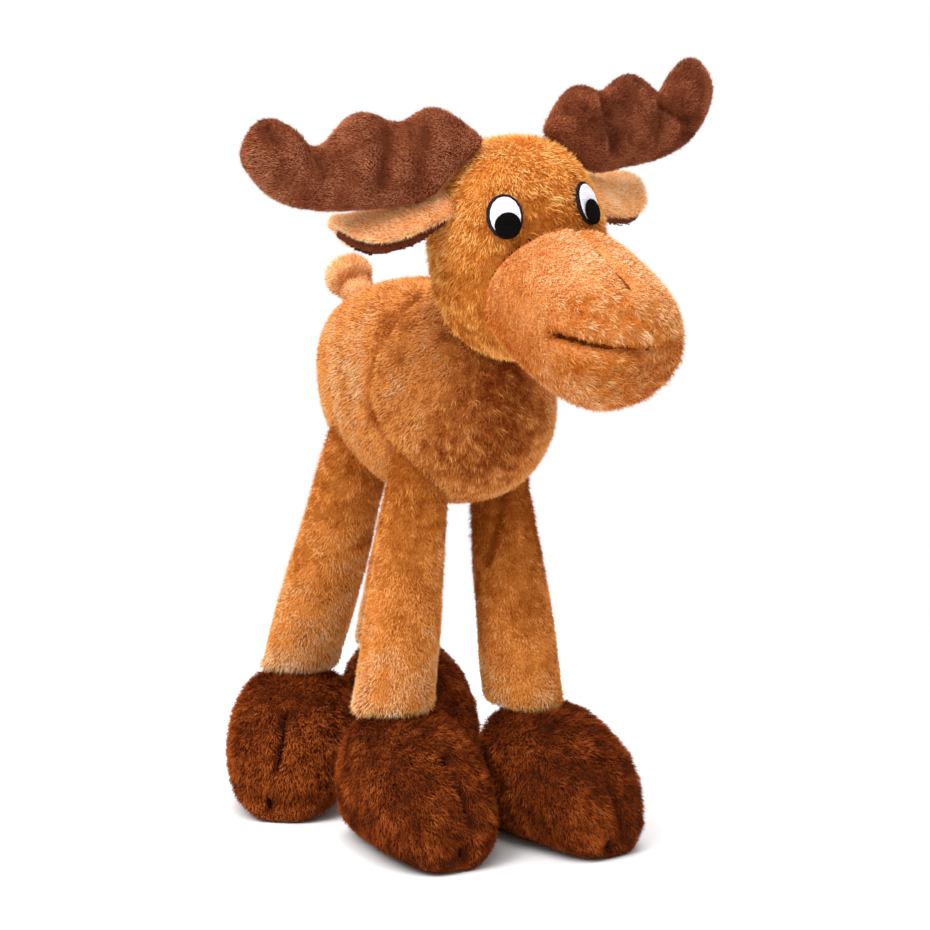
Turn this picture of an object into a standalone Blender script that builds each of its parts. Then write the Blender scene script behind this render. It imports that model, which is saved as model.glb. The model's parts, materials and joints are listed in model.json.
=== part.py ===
"""A stuffed toy moose that stands on four big slippered feet.

The animal faces -Y, its right side is towards -X, and the floor is at Z = 0.
Lengths are in metres. Tables of shares give swellings and places as parts of the named sizes.
Every stuffed piece is a loft: rings that swell and taper along a line, closed at both ends.
"""

import math

import bmesh
import bpy
from mathutils import Vector

# Seams between pieces
SEAM_GAP = 0.0003
SWING_GAP = 0.0005
SOLE_CUT = 0.0024

# Torso
BELLY_HEIGHT = 0.127
TORSO_LENGTH = 0.122
TORSO_WIDTH = 0.080
TORSO_HEIGHT = 0.090

# Neck and head
NECK_WIDTH = 0.048
HEAD_FORWARD = 0.059
HEAD_LIFT = 0.061
HEAD_WIDTH = 0.071
HEAD_DEPTH = 0.056
HEAD_HEIGHT = 0.084
HEAD_ASIDE = 0.0028
HEAD_NOD = math.radians(7)
HEAD_LEAN = math.radians(-5.5)

# Muzzle
MUZZLE_LENGTH = 0.081
MUZZLE_WIDTH = 0.064
MUZZLE_HEIGHT = 0.056
MUZZLE_LIFT = 0.002
MUZZLE_DROP = math.radians(29)

# Eyes
EYE_WIDTH = 0.0114
EYE_HEIGHT = 0.0146
EYE_RIM = 0.0011
PUPIL_WIDTH = 0.0100
PATCH_THICKNESS = 0.0006

# Ears
EAR_LENGTH = 0.0385
EAR_WIDTH = 0.0222
EAR_BACK = 0.006
EAR_THICKNESS = 0.0026
LINING_THICKNESS = 0.0014
EAR_CURL = math.radians(70)
EAR_SWEEP = math.radians(20)
# How far each ear rolls back about its own line: the right one, then the left one
EAR_TILTS = {-1: math.radians(13), 1: math.radians(-20)}
EAR_DROOP = math.radians(5)
EAR_FALL = math.radians(18)
EAR_RISE = math.radians(4)

# Antlers
ANTLER_LENGTH = 0.088
ANTLER_HEIGHT = 0.0345
ANTLER_THICKNESS = 0.015
ANTLER_FORWARD = 0.0015
ANTLER_SEAM_TURN = math.radians(38)
ANTLER_SWEEP = math.radians(10.5)

# Tail
TAIL_LENGTH = 0.024
TAIL_WIDTH = 0.0232
TAIL_RISE = math.radians(40)

# Legs and feet
LEG_TOP_WIDTH = 0.0225
LEG_BOTTOM_WIDTH = 0.0325
HIP_SPREAD = 0.046
STANCE_WIDTH = 0.053
STANCE_LENGTH = 0.095
STANCE_BACK = 0.020
HIP_SWING = math.radians(17)
HOOF_LENGTH = 0.076
HOOF_WIDTH = 0.054
HOOF_HEIGHT = 0.051

# Fullness of the outlines: 2 is an ellipse and more is squarer
ROUND_POWER = 2.0
STUFFED_POWER = 2.3
HEAD_POWER = 2.5
FOOT_POWER = 2.6
NOSE_POWER = 2.8

# Sides of the torso
ABOVE, BELOW = 1, -1

# Counts of rings along a piece and of points round each ring
TORSO_RINGS, TORSO_SIDES = 18, 26
NECK_RINGS, NECK_SIDES = 14, 24
HEAD_RINGS, HEAD_SIDES = 16, 24
MUZZLE_RINGS, MUZZLE_SIDES = 16, 20
ANTLER_SIDES = 10
EAR_RINGS, EAR_SIDES = 8, 10
EAR_ROOM_RINGS = 8
TAIL_RINGS, TAIL_SIDES = 7, 12
LEG_RINGS, LEG_SIDES = 6, 18
LEG_CAP_RINGS = 3
HOOF_RINGS, HOOF_SIDES = 13, 22
PATCH_SIDES = 16
NOD_STEPS = 5

# Share of the way from rump to chest; width, height and upward shift as shares of the torso
TORSO_SHARES = (
    (0.00, 0.88, 0.84, 0.070),
    (0.25, 0.93, 0.90, 0.045),
    (0.50, 0.98, 0.95, 0.020),
    (0.75, 1.00, 1.00, 0.000),
    (1.00, 0.98, 1.00, 0.005),
)
# Share of the way up the head; width, depth and forward shift as shares of the head
HEAD_SHARES = (
    (0.00, 0.98, 0.92, 0.06),
    (0.35, 1.00, 1.00, 0.03),
    (0.70, 0.96, 1.00, 0.00),
    (1.00, 0.92, 0.98, -0.02),
)
# Share of the way out along the muzzle; width, height and upward shift as shares of it
MUZZLE_SHARES = (
    (0.00, 1.02, 0.97, -0.05),
    (0.30, 1.02, 0.98, -0.05),
    (0.60, 0.99, 0.97, -0.02),
    (0.80, 0.98, 1.00, -0.02),
    (1.00, 0.96, 0.98, -0.02),
)
# Share of the way out along the antler; heights of its upper and lower edge as shares of
# its height over the middle of its seam
ANTLER_SHARES = (
    (0.000, 0.39, 0.28),
    (0.035, 0.56, 0.15),
    (0.090, 0.69, -0.02),
    (0.130, 0.74, -0.14),
    (0.170, 0.76, -0.24),
    (0.215, 0.73, -0.30),
    (0.290, 0.63, -0.32),
    (0.350, 0.66, -0.32),
    (0.410, 0.75, -0.31),
    (0.475, 0.79, -0.31),
    (0.540, 0.74, -0.30),
    (0.600, 0.61, -0.29),
    (0.650, 0.48, -0.27),
    (0.700, 0.54, -0.24),
    (0.760, 0.70, -0.21),
    (0.830, 0.82, -0.14),
    (0.890, 0.84, -0.04),
    (0.940, 0.76, 0.10),
    (0.980, 0.61, 0.27),
    (1.000, 0.48, 0.40),
)
# Share of the way out along the ear; width as a share of the ear's width
EAR_SHARES = ((0.0, 0.62), (0.2, 0.84), (0.5, 1.0), (0.75, 0.92), (0.92, 0.64), (1.0, 0.28))
# Share of the way out along the tail; width as a share of the tail's width
TAIL_SHARES = ((0.0, 0.52), (0.3, 0.84), (0.6, 1.0), (0.85, 0.84), (1.0, 0.40))
# Share of the way from ankle to hip; width as a share of the way from bottom to top width
LEG_SHARES = ((0.0, 0.0), (0.15, -0.04), (0.45, 0.18), (0.75, 0.55), (1.0, 1.0))
# Share of the way from heel to toe; width and height of the foot as shares
HOOF_SHARES = ((0.0, 0.90, 1.00), (0.3, 0.96, 1.04), (0.6, 1.00, 0.90), (1.0, 0.98, 0.70))
HOOF_DOME_SHARE = 1.10
EYE_SPREAD_SHARES = {-1: 0.535, 1: 0.44}
EYE_WIDTH_SHARES = {-1: 1.0, 1: 0.88}
EYE_LIFT_SHARE = 0.280
EAR_LIFT_SHARE = 0.185
ANTLER_SPREAD_SHARE = 0.76
ANTLER_LIFT_SHARE = 0.375
ANKLE_SHARE = 0.26
ANTLER_ROOT_SHARE = 0.55
ANTLER_SEAM_SHARE = 0.10
LINING_SHARE = 0.96
PATCH_INNER_SHARE = 0.5
PUPIL_ASIDE_SHARE = 0.03
PUPIL_DROP_SHARE = 0.235
NECK_SHARE = 0.52
HIP_ROOM_SHARE = 0.5
MUZZLE_START_SHARE = 0.05
EAR_ROOT_SHARE = -0.15
TAIL_SEAM_SHARE = 0.075

# Legs: side, place of the hip as shares of the spread and along the torso, place of the ankle
# as shares of the stance, and how far the toe turns outwards
LEG_PLACE_SHARES = {
    "front_right": (-1, 1.00, 0.71, -0.56, -0.40, math.radians(4)),
    "front_left": (1, 0.73, 0.69, 0.385, -0.58, math.radians(8)),
    "hind_right": (-1, 1.00, 0.34, -0.49, 0.44, math.radians(37)),
    "hind_left": (1, 0.70, 0.24, 0.55, 0.62, math.radians(-9)),
}

TORSO_Z = BELLY_HEIGHT + TORSO_HEIGHT / 2
TORSO_CENTRE = Vector((0, 0, TORSO_Z))
HEAD_CENTRE = Vector((0, -HEAD_FORWARD, TORSO_Z + HEAD_LIFT))
NECK_CENTRE = TORSO_CENTRE.lerp(HEAD_CENTRE, NECK_SHARE)
PLACES = {}
MUZZLE_AXIS = Vector((0, -math.cos(MUZZLE_DROP), -math.sin(MUZZLE_DROP)))


# Curves and rings


def smooth(table, share):
    """Read a table of shares along a smooth curve through its rows."""
    last = len(table) - 1
    at = max(k for k in range(last) if table[k][0] <= max(share, table[0][0]))
    before, start, end, after = (table[min(max(at + k, 0), last)] for k in (-1, 0, 1, 2))
    part = (share - start[0]) / (end[0] - start[0])
    values = []
    for column in range(1, len(start)):
        rise_in = (end[column] - before[column]) / (end[0] - before[0])
        rise_out = (after[column] - start[column]) / (after[0] - start[0])
        span = end[0] - start[0]
        values.append(
            start[column] * (1 + 2 * part) * (1 - part) ** 2
            + end[column] * part**2 * (3 - 2 * part)
            + span * (rise_in * part * (1 - part) ** 2 + rise_out * part**2 * (part - 1))
        )
    return values


def swell(share, power):
    """How full a rounded form is, 0 at either end and 1 in the middle."""
    return max(0.0, 1 - abs(2 * share - 1) ** power) ** (1 / power)


def swell_shares(count):
    """Shares along a form, closer together towards both ends, without the ends themselves."""
    return [(1 - math.cos(math.pi * k / count)) / 2 for k in range(1, count)]


def squarish(angle, power):
    """A point on a rounded outline of half-width and half-height 1."""
    across, up = math.cos(angle), math.sin(angle)
    return (
        math.copysign(abs(across) ** (2 / power), across),
        math.copysign(abs(up) ** (2 / power), up),
    )


def ring(centre, across, up, power, sides):
    """Points round a closed outline, from its centre and its two half-sizes as vectors."""
    points = []
    for k in range(sides):
        x, y = squarish(2 * math.pi * k / sides, power)
        points.append(centre + across * x + up * y)
    return points


# Objects


def material(name, colour, roughness):
    """A plain finish in the piece's own colour."""
    finish = bpy.data.materials.new(name)
    finish.use_nodes = True
    shader = finish.node_tree.nodes["Principled BSDF"]
    shader.inputs["Base Color"].default_value = (*colour, 1)
    shader.inputs["Roughness"].default_value = roughness
    shader.inputs["Metallic"].default_value = 0
    return finish


def joint(name, place, carrier=None, aside=0, lean=0, nod=0):
    """An empty on a joint's axis, which carries the pieces that turn about it.

    Places are given as on an upright toy, and a joint that leans or nods tips what it carries.
    """
    empty = bpy.data.objects.new(name, None)
    empty.parent = carrier
    empty.location = place - PLACES[carrier.name] if carrier else place
    empty.location.x += aside
    empty.rotation_euler = (nod, lean, 0)
    bpy.context.collection.objects.link(empty)
    PLACES[name] = place
    return empty


def closed_loft(name, rings, first, last, finish, carrier):
    """A closed piece through the rings, with a point or a flat at either end."""
    mesh = bmesh.new()
    base = PLACES[carrier.name]
    loops = [[mesh.verts.new(point - base) for point in points] for points in rings]
    sides = len(loops[0])
    for lower, upper in zip(loops, loops[1:]):
        for k in range(sides):
            after = (k + 1) % sides
            mesh.faces.new((lower[k], lower[after], upper[after], upper[k]))
    for loop, end, order in ((loops[0], first, 1), (loops[-1], last, -1)):
        if end is None:
            mesh.faces.new(loop[::-order])
            continue
        tip = mesh.verts.new(end - base)
        for k in range(sides):
            mesh.faces.new((tip, loop[(k + 1) % sides], loop[k])[::order])
    bmesh.ops.recalc_face_normals(mesh, faces=mesh.faces)
    data = bpy.data.meshes.new(name)
    mesh.to_mesh(data)
    mesh.free()
    data.shade_smooth()
    data.materials.append(finish)
    piece = bpy.data.objects.new(name, data)
    piece.parent = carrier
    bpy.context.collection.objects.link(piece)
    return piece


def guide(piece):
    """Mark an object that only shapes others."""
    piece.hide_render = True
    piece.display_type = "WIRE"
    return piece


def shape_with(piece, tool, operation):
    """Join or cut a piece with a guide."""
    change = piece.modifiers.new(tool.name, "BOOLEAN")
    change.operation = operation
    change.solver = "EXACT"
    change.object = tool


# Torso


def torso_section(y):
    """Half-width, half-height and centre height of the torso at a place along it."""
    share = min(max(0.5 - y / TORSO_LENGTH, 0), 1)
    width, height, rise = smooth(TORSO_SHARES, share)
    full = swell(share, STUFFED_POWER)
    return (
        TORSO_WIDTH / 2 * width * full,
        TORSO_HEIGHT / 2 * height * full,
        TORSO_Z + TORSO_HEIGHT * rise,
    )


def torso_height_at(x, y, side):
    """Height of the torso's surface above or below its middle at a place across and along it."""
    half_width, half_height, centre = torso_section(y)
    part = min(abs(x) / half_width, 1)
    return centre + side * half_height * (1 - part**STUFFED_POWER) ** (1 / STUFFED_POWER)


def torso_rings(grown):
    """Rings of the torso, each grown by a clearance."""
    rings = []
    reach = TORSO_LENGTH / 2 + grown
    for share in swell_shares(TORSO_RINGS):
        half_width, half_height, centre = torso_section(TORSO_LENGTH * (0.5 - share))
        middle = Vector((0, reach * (1 - 2 * share), centre))
        across = Vector((half_width + grown, 0, 0))
        up = Vector((0, 0, half_height + grown))
        rings.append(ring(middle, across, up, STUFFED_POWER, TORSO_SIDES))
    ends = []
    for way in (1, -1):
        centre = torso_section(way * reach)[2]
        ends.append(Vector((0, way * reach, centre)))
    return rings, ends


def make_torso(finish, carrier, head_joint):
    rings, ends = torso_rings(0)
    torso = closed_loft("torso", rings, *ends, finish, carrier)
    shape_with(torso, make_ball("neck_form", NECK_WIDTH / 2, finish, head_joint), "UNION")


def make_ball(name, radius, finish, carrier):
    """A ball about the neck joint, which rounds the neck or hollows the head over it."""
    rings = []
    for share in swell_shares(NECK_RINGS):
        angle = math.acos(1 - 2 * share)
        middle = NECK_CENTRE - Vector((0, 0, radius * math.cos(angle)))
        across = Vector((radius * math.sin(angle), 0, 0))
        up = Vector((0, radius * math.sin(angle), 0))
        rings.append(ring(middle, across, up, ROUND_POWER, NECK_SIDES))
    ends = [NECK_CENTRE + Vector((0, 0, radius * way)) for way in (-1, 1)]
    return guide(closed_loft(name, rings, *ends, finish, carrier))


# Head


def head_section(z):
    """Half-width, half-depth and forward centre of the head at a height."""
    share = min(max(0.5 + (z - HEAD_CENTRE.z) / HEAD_HEIGHT, 0), 1)
    width, depth, forward = smooth(HEAD_SHARES, share)
    full = swell(share, HEAD_POWER)
    return (
        HEAD_WIDTH / 2 * width * full,
        HEAD_DEPTH / 2 * depth * full,
        HEAD_CENTRE.y - HEAD_DEPTH * forward,
    )


def head_front(x, z):
    """The point of the head's face at a place across and up."""
    half_width, half_depth, centre = head_section(z)
    part = min(abs(x) / half_width, 1)
    return Vector((x, centre - half_depth * (1 - part**STUFFED_POWER) ** (1 / STUFFED_POWER), z))


def head_side(side, z):
    """The outermost point of the head at a height, on one side."""
    half_width, half_depth, centre = head_section(z)
    return Vector((side * half_width, centre, z))


def head_rings(grown):
    """Rings of the head, each grown by a clearance."""
    rings = []
    reach = HEAD_HEIGHT / 2 + grown
    for share in swell_shares(HEAD_RINGS):
        half_width, half_depth, centre = head_section(HEAD_CENTRE.z + HEAD_HEIGHT * (share - 0.5))
        middle = Vector((0, centre, HEAD_CENTRE.z + reach * (2 * share - 1)))
        across = Vector((half_width + grown, 0, 0))
        up = Vector((0, half_depth + grown, 0))
        rings.append(ring(middle, across, up, STUFFED_POWER, HEAD_SIDES))
    ends = []
    for way in (-1, 1):
        z = HEAD_CENTRE.z + way * reach
        ends.append(Vector((0, head_section(z)[2], z)))
    return rings, ends


def make_head(finish, carrier):
    rings, ends = head_rings(0)
    head = closed_loft("head", rings, *ends, finish, carrier)
    socket = make_ball("neck_socket", NECK_WIDTH / 2 + SWING_GAP, finish, carrier)
    shape_with(head, socket, "DIFFERENCE")
    rings, ends = torso_rings(SEAM_GAP)
    for step in range(NOD_STEPS):
        nod = HEAD_NOD * (2 * step / (NOD_STEPS - 1) - 1)
        room_joint = joint(f"room_joint_{step}", NECK_CENTRE, nod=nod)
        room = closed_loft(f"torso_form_{step}", rings, *ends, finish, room_joint)
        shape_with(head, guide(room), "DIFFERENCE")


def make_muzzle(finish, carrier):
    """The long rounded nose, cut to seat on the front of the head."""
    sideways = Vector((1, 0, 0))
    upwards = MUZZLE_AXIS.cross(sideways)
    start = HEAD_CENTRE + MUZZLE_AXIS * MUZZLE_LENGTH * MUZZLE_START_SHARE
    start += upwards * MUZZLE_LIFT
    rings = []
    for share in swell_shares(MUZZLE_RINGS):
        width, height, rise = smooth(MUZZLE_SHARES, share)
        full = swell(share, NOSE_POWER)
        middle = start + MUZZLE_AXIS * MUZZLE_LENGTH * share + upwards * MUZZLE_HEIGHT * rise
        across = sideways * MUZZLE_WIDTH / 2 * width * full
        up = upwards * MUZZLE_HEIGHT / 2 * height * full
        rings.append(ring(middle, across, up, ROUND_POWER, MUZZLE_SIDES))
    first, last = (smooth(MUZZLE_SHARES, share)[2] for share in (0, 1))
    ends = (
        start + upwards * MUZZLE_HEIGHT * first,
        start + MUZZLE_AXIS * MUZZLE_LENGTH + upwards * MUZZLE_HEIGHT * last,
    )
    muzzle = closed_loft("muzzle", rings, *ends, finish, carrier)
    rings, ends = head_rings(SEAM_GAP)
    head_form = guide(closed_loft("head_form", rings, *ends, finish, carrier))
    shape_with(muzzle, head_form, "DIFFERENCE")


# Eyes


def face_frame(side):
    """Middle of an eye on the face, with the directions across, up and out of it."""
    x = side * HEAD_WIDTH * EYE_SPREAD_SHARES[side] / 2
    z = HEAD_CENTRE.z + MUZZLE_HEIGHT * EYE_LIFT_SHARE
    middle = head_front(x, z)
    across = (head_front(x + EYE_RIM, z) - head_front(x - EYE_RIM, z)).normalized()
    rising = (head_front(x, z + EYE_RIM) - head_front(x, z - EYE_RIM)).normalized()
    out = across.cross(rising).normalized()
    up = out.cross(across)
    return middle, across, up, out


def make_patch(name, side, shift, size, lift, finish, carrier):
    """A thin oval patch that follows the face: shift and size are across and up."""
    middle, across, up, out = face_frame(side)

    def on_face(part_across, part_up, height):
        point = middle + across * (shift[0] + size[0] * part_across)
        point += up * (shift[1] + size[1] * part_up)
        return head_front(point.x, point.z) + out * height

    def face_ring(part, height):
        angles = [2 * math.pi * k / PATCH_SIDES for k in range(PATCH_SIDES)]
        return [on_face(part * math.cos(a), part * math.sin(a), height) for a in angles]

    top = lift + PATCH_THICKNESS
    inner = PATCH_INNER_SHARE
    rings = [face_ring(inner, lift), face_ring(1, lift), face_ring(1, top), face_ring(inner, top)]
    ends = (on_face(0, 0, lift), on_face(0, 0, top))
    closed_loft(name, rings, *ends, finish, carrier)


def make_eye(name, side, finishes, carrier):
    """An oval white patch on a dark one that shows as its outline, and a round pupil."""
    narrowing = EYE_WIDTH_SHARES[side]
    half = (EYE_WIDTH / 2 * narrowing, EYE_HEIGHT / 2)
    rim = tuple(length + EYE_RIM for length in half)
    pupil = (PUPIL_WIDTH / 2 * narrowing, PUPIL_WIDTH / 2)
    aside = (side * EYE_WIDTH * -PUPIL_ASIDE_SHARE, -EYE_HEIGHT * PUPIL_DROP_SHARE)
    layer = PATCH_THICKNESS + SEAM_GAP
    parts = (("eye_rim", (0, 0), rim), ("eye_white", (0, 0), half), ("pupil", aside, pupil))
    for k, (part, shift, size) in enumerate(parts):
        lift = SEAM_GAP + layer * k
        make_patch(f"{part}_{name}", side, shift, size, lift, finishes[part], carrier)


# Ears


def ear_root(side):
    """Where an ear's seam lies on the side of the head."""
    seat = head_side(side, HEAD_CENTRE.z + HEAD_HEIGHT * EAR_LIFT_SHARE)
    return seat + Vector((side * SEAM_GAP, EAR_BACK, 0))


def make_ear_room(name, side, finish, carrier):
    """The head's side with room for an ear's root to swing, less above the root than below."""
    root = ear_root(side)
    rings = []
    for k in range(-EAR_ROOM_RINGS, EAR_ROOM_RINGS + 1):
        rise = EAR_WIDTH * k / EAR_ROOM_RINGS
        seat = head_side(side, root.z + rise)
        swing = EAR_FALL if rise < 0 else EAR_RISE
        out = seat.x + side * (SEAM_GAP + abs(rise) * math.tan(swing))
        corners = ((0, -EAR_WIDTH), (out, -EAR_WIDTH), (out, EAR_WIDTH), (0, EAR_WIDTH))
        rings.append([Vector((x, root.y + y, seat.z)) for x, y in corners])
    return guide(closed_loft(name, rings, None, None, finish, carrier))


def make_ear_layer(name, side, width_share, upper, lower, finish, carrier, room):
    """One layer of an arched leaf: upper and lower are heights over the arch."""
    flat = Vector((side * math.cos(EAR_SWEEP), math.sin(EAR_SWEEP), 0))
    along = flat * math.cos(EAR_DROOP) - Vector((0, 0, math.sin(EAR_DROOP)))
    level = Vector((0, 0, 1)).cross(flat) * side
    across = level * math.cos(EAR_TILTS[side]) - Vector((0, 0, math.sin(EAR_TILTS[side])))
    over = along.cross(across).normalized() * side
    root = ear_root(side)
    curve = EAR_WIDTH / 2 / math.sin(EAR_CURL)
    rings = []
    for k in range(EAR_RINGS + 1):
        share = k / EAR_RINGS
        curl = EAR_CURL * width_share * smooth(EAR_SHARES, share)[0]
        reach = (1 - (1 - width_share) * share) * EAR_LENGTH * share
        middle = root + along * (reach + EAR_WIDTH * EAR_ROOT_SHARE) - over * curve
        points = []
        for j in range(EAR_SIDES):
            part, height = squarish(2 * math.pi * j / EAR_SIDES, ROUND_POWER)
            radius = curve + lower + (upper - lower) * (0.5 + height / 2)
            outwards = across * math.sin(curl * part) + over * math.cos(curl * part)
            points.append(middle + outwards * radius)
        rings.append(points)
    shape_with(closed_loft(name, rings, None, None, finish, carrier), room, "DIFFERENCE")


# Antlers


def antler_frame(side):
    """Middle of an antler's seam on the head, and the directions out, up and through it."""
    out = Vector((side * math.cos(ANTLER_SWEEP), math.sin(ANTLER_SWEEP), 0))
    up = Vector((0, 0, 1))
    aside = side * HEAD_WIDTH * ANTLER_SPREAD_SHARE / 2
    root = HEAD_CENTRE + Vector((aside, -ANTLER_FORWARD, HEAD_HEIGHT * ANTLER_LIFT_SHARE))
    return root, out, up, out.cross(up)


def make_antler(name, side, finish, carrier):
    """A flat stuffed palm with three lobes along its upper edge."""
    root, out, up, through = antler_frame(side)
    rings = []
    for share, top, bottom in ANTLER_SHARES:
        tall = ANTLER_HEIGHT * (top - bottom)
        full = min(1, tall / ANTLER_HEIGHT) ** ANTLER_ROOT_SHARE
        middle = root + out * ANTLER_LENGTH * (share - ANTLER_SEAM_SHARE)
        middle += up * ANTLER_HEIGHT * (top + bottom) / 2
        thick = through * ANTLER_THICKNESS / 2 * full
        rings.append(ring(middle, thick, up * tall / 2, ROUND_POWER, ANTLER_SIDES))
    closed_loft(name, rings, None, None, finish, carrier)


# Tail


def tail_root():
    """Where the tail's seam lies on the top of the rump."""
    y = TORSO_LENGTH * (0.5 - TAIL_SEAM_SHARE)
    return Vector((0, y, torso_height_at(0, y, ABOVE) + SWING_GAP))


def make_tail(finish, carrier):
    along = Vector((0, math.cos(TAIL_RISE), math.sin(TAIL_RISE)))
    sideways = Vector((1, 0, 0))
    upwards = sideways.cross(along)
    root = tail_root()
    rings = []
    for k in range(TAIL_RINGS):
        share = k / (TAIL_RINGS - 1)
        half_width = TAIL_WIDTH / 2 * smooth(TAIL_SHARES, share)[0]
        middle = root + along * TAIL_LENGTH * share
        across = sideways * half_width
        rings.append(ring(middle, across, upwards * half_width, ROUND_POWER, TAIL_SIDES))
    closed_loft("tail", rings, None, None, finish, carrier)


# Legs and feet


def hip(name):
    """The point of the belly's surface that a leg hangs from."""
    side, across, along = LEG_PLACE_SHARES[name][:3]
    x = side * across * HIP_SPREAD / 2
    y = TORSO_LENGTH * (0.5 - along)
    return Vector((x, y, torso_height_at(x, y, BELOW) - SWING_GAP))


def ankle(name):
    """Middle of the seam between a leg and its foot."""
    across, along = LEG_PLACE_SHARES[name][3:5]
    return Vector((STANCE_WIDTH * across, STANCE_BACK + STANCE_LENGTH * along, HOOF_HEIGHT))


def make_leg(name, finish, carrier):
    """A stuffed tube, cut at the top to the belly's curve with room to swing."""
    top = hip(name)
    foot = ankle(name) + Vector((0, 0, SEAM_GAP))

    def cap_height(x, y):
        belly = torso_height_at(x, y, BELOW) - SWING_GAP
        reach = abs(y - top.y) + max(belly - top.z, 0) * HIP_ROOM_SHARE
        return belly - reach * math.tan(HIP_SWING)

    def circle(centre, half_width):
        angles = [2 * math.pi * k / LEG_SIDES for k in range(LEG_SIDES)]
        return [centre + Vector((math.cos(a), math.sin(a), 0)) * half_width for a in angles]

    edge = [cap_height(point.x, point.y) for point in circle(top, LEG_TOP_WIDTH / 2)]
    rings = []
    for k in range(LEG_RINGS + 1):
        share = k / LEG_RINGS
        taper = smooth(LEG_SHARES, share)[0]
        half_width = (LEG_BOTTOM_WIDTH + (LEG_TOP_WIDTH - LEG_BOTTOM_WIDTH) * taper) / 2
        points = circle(foot.lerp(top, share), half_width)
        for point, height in zip(points, edge):
            point.z = foot.z + (height - foot.z) * share
        rings.append(points)
    for k in range(1, LEG_CAP_RINGS):
        points = circle(top, LEG_TOP_WIDTH / 2 * (1 - k / LEG_CAP_RINGS))
        for point in points:
            point.z = cap_height(point.x, point.y)
        rings.append(points)
    closed_loft(f"leg_{name}", rings, None, top, finish, carrier)


def make_hoof(name, finish, carrier):
    """A big soft slipper with a flat sole and a flat where the leg is sewn on."""
    side, turn = LEG_PLACE_SHARES[name][0], LEG_PLACE_SHARES[name][5]
    toe = Vector((side * math.sin(turn), -math.cos(turn), 0))
    sideways = Vector((0, 0, 1)).cross(toe)
    heel = ankle(name) - toe * HOOF_LENGTH * ANKLE_SHARE
    rings = []
    for share in swell_shares(HOOF_RINGS):
        width, height = smooth(HOOF_SHARES, share)
        full = swell(share, FOOT_POWER)
        tall = HOOF_HEIGHT * HOOF_DOME_SHARE * height * full + SOLE_CUT
        middle = heel + toe * HOOF_LENGTH * share
        middle.z = tall / 2 - SOLE_CUT
        across = sideways * HOOF_WIDTH / 2 * width * full
        points = ring(middle, across, Vector((0, 0, tall / 2)), STUFFED_POWER, HOOF_SIDES)
        for point in points:
            point.z = min(max(point.z, 0), HOOF_HEIGHT)
        rings.append(points)
    ends = []
    for place, points in ((heel, rings[0]), (heel + toe * HOOF_LENGTH, rings[-1])):
        height = sum(point.z for point in points) / len(points)
        ends.append(Vector((place.x, place.y, height)))
    closed_loft(f"hoof_{name}", rings, *ends, finish, carrier)


# The whole toy


def centre_over_origin():
    """Move the toy so that the middle of its box stands over the origin."""
    bpy.context.view_layer.update()
    corners = []
    for piece in bpy.data.objects:
        if piece.type == "MESH" and not piece.hide_render:
            corners += [piece.matrix_world @ Vector(corner) for corner in piece.bound_box]
    x, y = ((min(c[k] for c in corners) + max(c[k] for c in corners)) / 2 for k in (0, 1))
    for piece in bpy.data.objects:
        if piece.parent is None:
            piece.location -= Vector((x, y, 0))


def build():
    for old in list(bpy.data.objects):
        bpy.data.objects.remove(old)

    golden = material("golden_plush", (0.55, 0.23, 0.06), 0.95)
    tan = material("tan_plush", (0.60, 0.30, 0.12), 0.95)
    peach = material("peach_plush", (0.68, 0.36, 0.17), 0.95)
    brown = material("brown_plush", (0.19, 0.06, 0.03), 0.95)
    dark = material("dark_plush", (0.13, 0.035, 0.01), 0.95)
    white = material("white_thread", (0.92, 0.91, 0.94), 0.6)
    black = material("black_thread", (0.012, 0.01, 0.01), 0.5)
    violet = material("outline_thread", (0.03, 0.015, 0.04), 0.6)

    torso_frame = joint("torso_frame", TORSO_CENTRE)
    head_joint = joint("head_joint", NECK_CENTRE, aside=HEAD_ASIDE, lean=HEAD_LEAN)
    tail_joint = joint("tail_joint", tail_root())

    make_torso(tan, torso_frame, head_joint)
    make_head(golden, head_joint)
    make_muzzle(peach, head_joint)
    make_tail(tan, tail_joint)

    eye_finishes = {"eye_rim": violet, "eye_white": white, "pupil": black}
    for name, side in (("right", -1), ("left", 1)):
        make_eye(name, side, eye_finishes, head_joint)
        ear_joint = joint(f"ear_joint_{name}", ear_root(side), head_joint)
        room = make_ear_room(f"ear_room_{name}", side, golden, ear_joint)
        over = LINING_THICKNESS + SWING_GAP
        leaf = (side, 1, over + EAR_THICKNESS, over)
        make_ear_layer(f"ear_{name}", *leaf, golden, ear_joint, room)
        lining = (side, LINING_SHARE, LINING_THICKNESS, 0)
        make_ear_layer(f"ear_lining_{name}", *lining, brown, ear_joint, room)
        antler_root = antler_frame(side)[0]
        antler_joint = joint(f"antler_joint_{name}", antler_root, head_joint)
        make_antler(f"antler_{name}", side, brown, antler_joint)

    for name in LEG_PLACE_SHARES:
        hip_joint = joint(f"hip_joint_{name}", hip(name))
        make_leg(name, tan, hip_joint)
        make_hoof(name, dark, hip_joint)

    centre_over_origin()


build()
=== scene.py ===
"""Looks of the stuffed moose: plush skins, their pile, seams, stitched eyes, light and camera.

Every stuffed form of the frame is remeshed into a soft skin close to the solid's face, mostly a
little inside it, and short strands of pile grow out of it. Lengths are in metres, the toy faces
-Y and the floor is at Z = 0. A table whose name ends in PIXELS is read in the photograph's frame
of 930 by 930.
"""

import json
import math

import bmesh
import bpy
import numpy as np
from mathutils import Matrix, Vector, noise
from mathutils.bvhtree import BVHTree


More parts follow.
